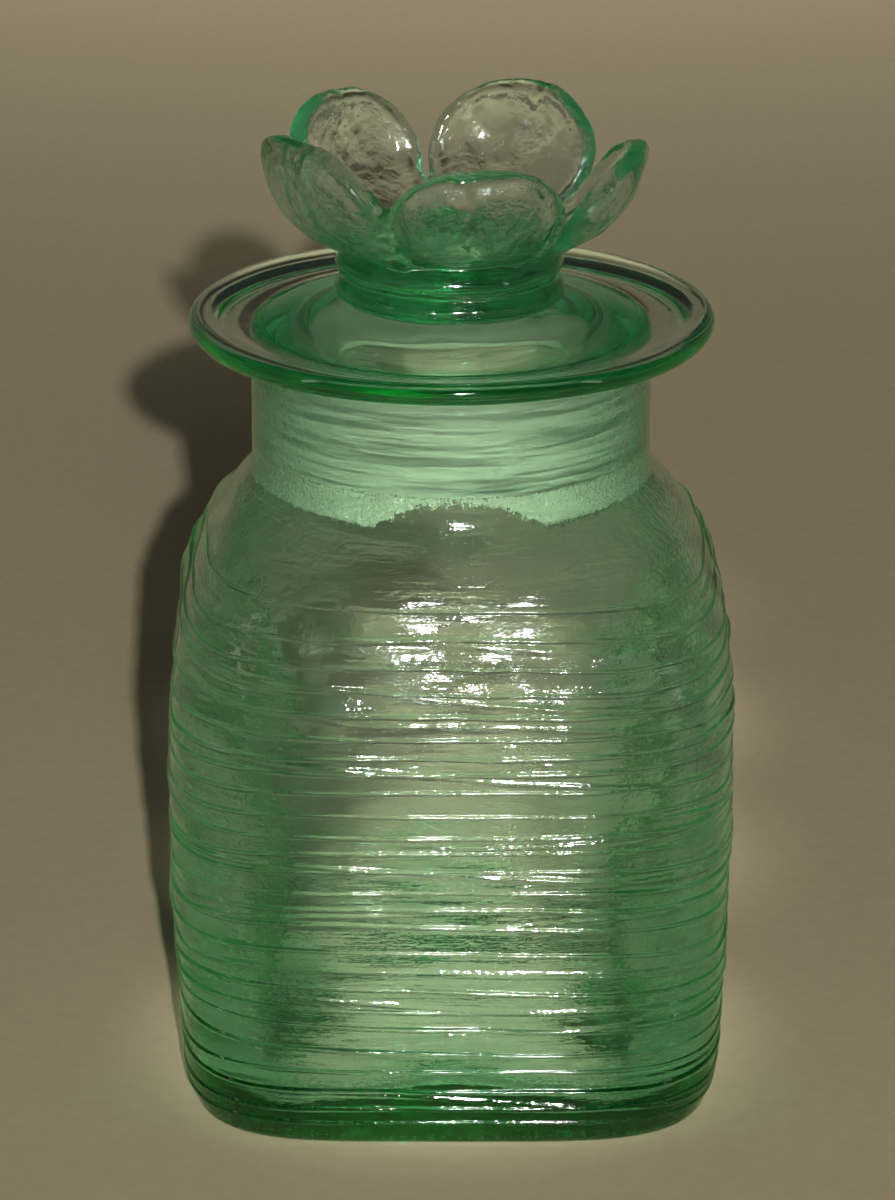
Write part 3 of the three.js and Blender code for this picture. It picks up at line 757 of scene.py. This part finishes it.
def petal_mesh(az, tip_r, tip_z, half_a, seed):
    """A thick spoon with a rounded rim, in the row frame (mm). Returns verts, faces."""
    P = np.array([[13.5, CUP_Z + 2.2], [27.0, CUP_Z + 1.4], [min(tip_r + 1.2, 37.6), CUP_Z + 9.5], [tip_r, tip_z - 0.2]])
    nu, nv = 44, 40
    u = np.sin(np.linspace(-1, 1, nu + 1) * math.pi / 2)[:, None]
    t = np.linspace(0, 1, nv + 1)
    v = (0.55 * t + 0.45 * np.sin(t * math.pi / 2))[None, :]
    mv = 1 - v
    bez = lambda k: mv**3 * P[0, k] + 3 * mv * mv * v * P[1, k] + 3 * mv * v * v * P[2, k] + v**3 * P[3, k]
    dbez = lambda k: 3 * mv * mv * (P[1, k] - P[0, k]) + 6 * mv * v * (P[2, k] - P[1, k]) + 3 * v * v * (P[3, k] - P[2, k])
    r, z = bez(0), bez(1)
    dr, dz = dbez(0), dbez(1)
    length = np.concatenate([[0], np.cumsum(np.hypot(np.diff(r[0]), np.diff(z[0])))])
    L = length[-1]
    s = (length / L)[None, :]
    # outline: five lobes of one bowl, joined low down, each with a broad round tip
    x = np.clip((s - 0.50) / 0.50, 0, 1)
    open_a = math.radians(36.6) + (math.radians(half_a) - math.radians(36.6)) * smooth01((s - 0.22) / 0.26)
    rad_s = np.maximum(r, 6)
    W = open_a * rad_s * np.sqrt(np.clip(1 - x**2.25, 0, 1))
    w = u * W
    ang = w / rad_s
    curl = 1.9 * (u**2) * np.clip(s * 1.6, 0, 1) * np.clip(W / 16.0, 0, 1)
    # distance to the rim, in mm
    d = np.minimum(W * (1 - np.abs(u)), (1 - s) * L)
    d = np.minimum(d, np.sqrt(np.clip(d, 0, None)) * 2.2)
    rim = 2.1
    body = (2.1 - 0.55 * smooth01((d - 2.0) / 5.0)) * {1: 1.10, 5: 1.22}.get(seed, 1.0)
    cap = np.sqrt(np.clip(1 - (1 - np.clip(d / rim, 0, 1)) ** 2, 0, 1))
    half_t = body * cap
    ll = np.hypot(dr, dz)
    nr, nz = -dz / ll, dr / ll  # towards the axis and up
    rr = r + nr * curl + 0 * u
    zz = z + nz * curl + 0 * u
    lumps = 0.45 * waves(rr * np.cos(ang), rr * np.sin(ang), zz, 40 + seed, 22.0, 2)
    rr, zz = rr + nr * lumps, zz + nz * lumps
    verts = []
    for side in (1, -1):
        R = rr + nr * half_t * side
        Z = zz + nz * half_t * side
        a = ang + math.radians(az)
        verts.append(np.stack([R * np.cos(a), R * np.sin(a), Z + 0 * R], -1))
    V = np.concatenate([verts[0].reshape(-1, 3), verts[1].reshape(-1, 3)])
    rows, cols = nu + 1, nv + 1
    i, j = np.meshgrid(np.arange(nu), np.arange(nv), indexing="ij")
    a0 = i * cols + j
    top = np.stack([a0, a0 + cols, a0 + cols + 1, a0 + 1], -1).reshape(-1, 4)
    o = rows * cols
    bot = top[:, ::-1] + o
    F = top.tolist() + bot.tolist()
    edge = [(k, k + 1) for k in range(nv)]
    F += [[p, q, q + o, p + o] for p, q in edge]
    b = nu * cols
    F += [[b + q, b + p, b + p + o, b + q + o] for p, q in edge]
    F += [[(k + 1) * cols, k * cols, k * cols + o, (k + 1) * cols + o] for k in range(nu)]
    e = cols - 1
    F += [[k * cols + e, (k + 1) * cols + e, (k + 1) * cols + e + o, k * cols + e + o] for k in range(nu)]
    return V, F


def lathe_mesh(profile, cols, wob=0.0, seed=0):
    rows = spline(profile, 0.5)
    a = (np.arange(cols) / cols * 2 * math.pi)[None, :]
    r, z = rows[:, 0:1], rows[:, 1:2]
    X, Y, Z = r * np.cos(a), r * np.sin(a), z + 0 * a
    if wob:
        dr = wob * waves(X, Y, Z, seed, 24.0, 2) * np.clip(r / 12, 0, 1)
        X, Y = X + dr * np.cos(a), Y + dr * np.sin(a)
    V = np.vstack([np.stack([X, Y, Z], -1).reshape(-1, 3), [[0, 0, profile[0][1]]], [[0, 0, profile[-1][1]]]])
    n = len(rows)
    F = grid_faces(n, cols)
    s, e, o = n * cols, n * cols + 1, (n - 1) * cols
    F += [[s, (i + 1) % cols, i] for i in range(cols)] + [[e, o + i, o + (i + 1) % cols] for i in range(cols)]
    return V, F


def flower_knob():
    V, F, base = [], [], 0
    rings = [[0.01, 161.3], [19.6, 161.3], [21.2, 161.7], [22.5, 162.6], [22.95, 163.9], [22.6, 165.2], [21.3, 166.2], [20.0, 166.6],
             [21.2, 167.0], [22.4, 168.0], [22.8, 169.3], [22.3, 170.7], [20.8, 171.8], [18.9, 172.3], [17.6, 173.4],
             [16.0, 175.2], [12.0, 175.6], [6.0, 174.6], [0.01, 174.2]]
    for v, f in [lathe_mesh(rings, 160, 0.25, 51)] + [petal_mesh(az, tr, tz, hw, sd) for _, az, tr, tz, hw, sd in PETALS]:
        V.append(v)
        F += [[k + base for k in q] for q in f]
        base += len(v)
    ob = make_mesh("flower_knob", np.vstack(V), F)
    mod = ob.modifiers.new("melt", "REMESH")
    mod.mode = "VOXEL"
    mod.voxel_size = 0.50 * MM
    mod.adaptivity = 0.0
    bpy.context.view_layer.update()
    dg = bpy.context.evaluated_depsgraph_get()
    me = bpy.data.meshes.new_from_object(ob.evaluated_get(dg))
    ob.modifiers.clear()
    old = ob.data
    ob.data = me
    bpy.data.meshes.remove(old)
    ob.data.name = "flower_knob"
    # melt the joins: a few rounds of smoothing that keep the volume
    n = len(me.vertices)
    co = np.empty(n * 3)
    me.vertices.foreach_get("co", co)
    co = co.reshape(-1, 3)
    ed = np.empty(len(me.edges) * 2, np.int32)
    me.edges.foreach_get("vertices", ed)
    ed = ed.reshape(-1, 2)
    deg = np.bincount(ed.ravel(), minlength=n).astype(float)[:, None]

    def step(p, k):
        acc = np.zeros_like(p)
        np.add.at(acc, ed[:, 0], p[ed[:, 1]])
        np.add.at(acc, ed[:, 1], p[ed[:, 0]])
        return p + k * (acc / deg - p)

    for _ in range(8):
        co = step(co, 0.6)
        co = step(co, -0.62)
    for _ in range(2):
        co = step(co, 0.5)
    me.vertices.foreach_set("co", co.ravel())
    me.update()
    # pinched skin on the petals: shallow dimples, strongest inside the bowl
    no = np.empty(n * 3)
    me.vertices.foreach_get("normal", no)
    no = no.reshape(-1, 3)
    mmc = co / MM
    x, y, z = mmc.T
    dim = waves(x, y, z, 61, 5.2, 3)
    patch = smooth01(0.5 + 1.4 * waves(x, y, z, 63, 16.0, 1))
    on = smooth01((z - CUP_Z - 3.0) / 4.0)
    co = co + no * (0.16 * dim * patch * on * MM)[:, None]
    me.vertices.foreach_set("co", co.ravel())
    me.update()
    me.shade_smooth()
    return ob


knob = flower_knob()
knob.data.materials.clear()
knob.data.materials.append(glass_material("knob_glass", 0.07, 0.00006, crizzle=0.00026, density=44.0))
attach(knob, "stopper")
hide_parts("knob_collar_lower", "knob_collar_upper", "flower_cup",
            "petal_front", "petal_right", "petal_back_right", "petal_back_left", "petal_left")

# =====================================================================
# Floor, world and studio light
# =====================================================================
bpy.ops.mesh.primitive_circle_add(vertices=96, radius=2.4, fill_type="NGON", location=(0, 0, -0.0003))
floor = bpy.context.object
floor.name = "floor"
fm = Nodes("floor_paper")
fb = fm.add("ShaderNodeBsdfPrincipled")
fco = fm.add("ShaderNodeTexCoord").outputs["Object"]
fibre = fm.noise(fco, 260.0, 5.0, 0.65)
mixc = fm.add("ShaderNodeMix", data_type="RGBA")
fm.put(mixc.inputs[0], fm.ramp(fibre, 0.3, 0.7, 0.0, 1.0, smooth=False))
mixc.inputs[6].default_value = (0.350, 0.297, 0.192, 1)
mixc.inputs[7].default_value = (0.380, 0.323, 0.209, 1)
fm.link(mixc.outputs[2], fb.inputs["Base Color"])
fb.inputs["Roughness"].default_value = 0.9
fb.inputs["Specular IOR Level"].default_value = 0.2
fo = fm.add("ShaderNodeOutputMaterial")
fm.link(fb.outputs["BSDF"], fo.inputs["Surface"])
floor.data.materials.append(fm.mat)

world = bpy.data.worlds.new("studio")
scene.world = world
world.use_nodes = True
wt = world.node_tree
wt.nodes.clear()
wc = wt.nodes.new("ShaderNodeTexCoord")
ws = wt.nodes.new("ShaderNodeSeparateXYZ")
wt.links.new(wc.outputs["Generated"], ws.inputs[0])
wr = wt.nodes.new("ShaderNodeValToRGB")
wt.links.new(ws.outputs["Z"], wr.inputs["Fac"])
wr.color_ramp.elements[0].position = 0.0
wr.color_ramp.elements[0].color = (1.0, 0.86, 0.60, 1)
for place, tint in ((0.13, (0.92, 0.80, 0.57, 1)), (0.34, (0.12, 0.112, 0.092, 1))):
    e = wr.color_ramp.elements.new(place)
    e.color = tint
wr.color_ramp.elements[-1].position = 1.0
wr.color_ramp.elements[-1].color = (0.17, 0.165, 0.15, 1)
wb = wt.nodes.new("ShaderNodeBackground")
wb.inputs["Strength"].default_value = 0.14
wt.links.new(wr.outputs["Color"], wb.inputs["Color"])
wo = wt.nodes.new("ShaderNodeOutputWorld")
wt.links.new(wb.outputs["Background"], wo.inputs["Surface"])


def area(name, loc, aim, size, power, color=(1, 1, 1)):
    d = bpy.data.lights.new(name, "AREA")
    d.shape = "SQUARE"
    d.size = size
    d.energy = power
    d.color = color
    o = bpy.data.objects.new(name, d)
    o.location = loc
    o.rotation_euler = (Vector(aim) - Vector(loc)).to_track_quat("-Z", "Y").to_euler()
    scene.collection.objects.link(o)
    return o


area("key_front", (0.25, -3.15, 1.25), (0, 0, 0.10), 0.045, 148.0, (1.0, 0.975, 0.93))
area("softbox_front", (0.26, -2.60, 1.30), (0, 0, 0.10), 0.34, 7.0, (1.0, 0.975, 0.93))
overhead = area("overhead", (0.0, 1.45, 1.7), (0, 1.45, 0.0), 0.9, 3.4, (1.0, 0.98, 0.94))
overhead.data.spread = math.radians(54.0)

floor_only = bpy.data.collections.new("floor_only")
floor_only.objects.link(floor)


def snoot(name, x, y, power, radius):
    """A soft round pool of light on the floor, from a lamp straight above it."""
    d = bpy.data.lights.new(name, "SPOT")
    d.energy = power
    d.color = (1.0, 0.975, 0.93)
    d.shadow_soft_size = 0.02
    d.spot_size = 2.0 * math.atan(radius / 1.2)
    d.spot_blend = 1.0
    o = bpy.data.objects.new(name, d)
    o.location = (x, y, 1.2)
    o.light_linking.receiver_collection = floor_only
    o.light_linking.blocker_collection = floor_only
    scene.collection.objects.link(o)
    return o


# the key again, for the ground skin inside the neck: the clear wall lets it through
film_only = bpy.data.collections.new("film_only")
film_only.objects.link(film)
neck_key = area("key_neck", (0.25, -3.15, 1.25), (0, 0, 0.10), 0.045, 40.0, (1.0, 0.975, 0.93))
neck_key.light_linking.receiver_collection = film_only
neck_key.light_linking.blocker_collection = floor_only

# light let through the clear glass onto the floor under the jar and behind it
snoot("pool_under", 0.0, 0.005, 86.0, 0.066)
snoot("pool_near", 0.005, 0.10, 54.0, 0.070)
snoot("pool_mid", 0.006, 0.185, 76.0, 0.071)
snoot("pool_far", 0.006, 0.265, 32.0, 0.072)

for side in (-1, 1):
    strip = area("strip_left" if side < 0 else "strip_right", (1.5 * side, -0.75, 0.75), (0, 0, 0.10), 0.12, 1.0, (1.0, 0.985, 0.95))
    strip.data.shape = "RECTANGLE"
    strip.data.size_y = 0.9

scene.view_settings.view_transform = "Standard"
scene.view_settings.look = "None"
scene.view_settings.exposure = 0.0
scene.cycles.max_bounces = 40
scene.cycles.transmission_bounces = 32
scene.cycles.glossy_bounces = 16
scene.cycles.diffuse_bounces = 3
scene.cycles.volume_bounces = 0
scene.cycles.transparent_max_bounces = 8
scene.cycles.caustics_refractive = True
scene.cycles.caustics_reflective = True
scene.cycles.blur_glossy = 0.3
scene.cycles.sample_clamp_indirect = 20.0
scene.cycles.use_denoising = True
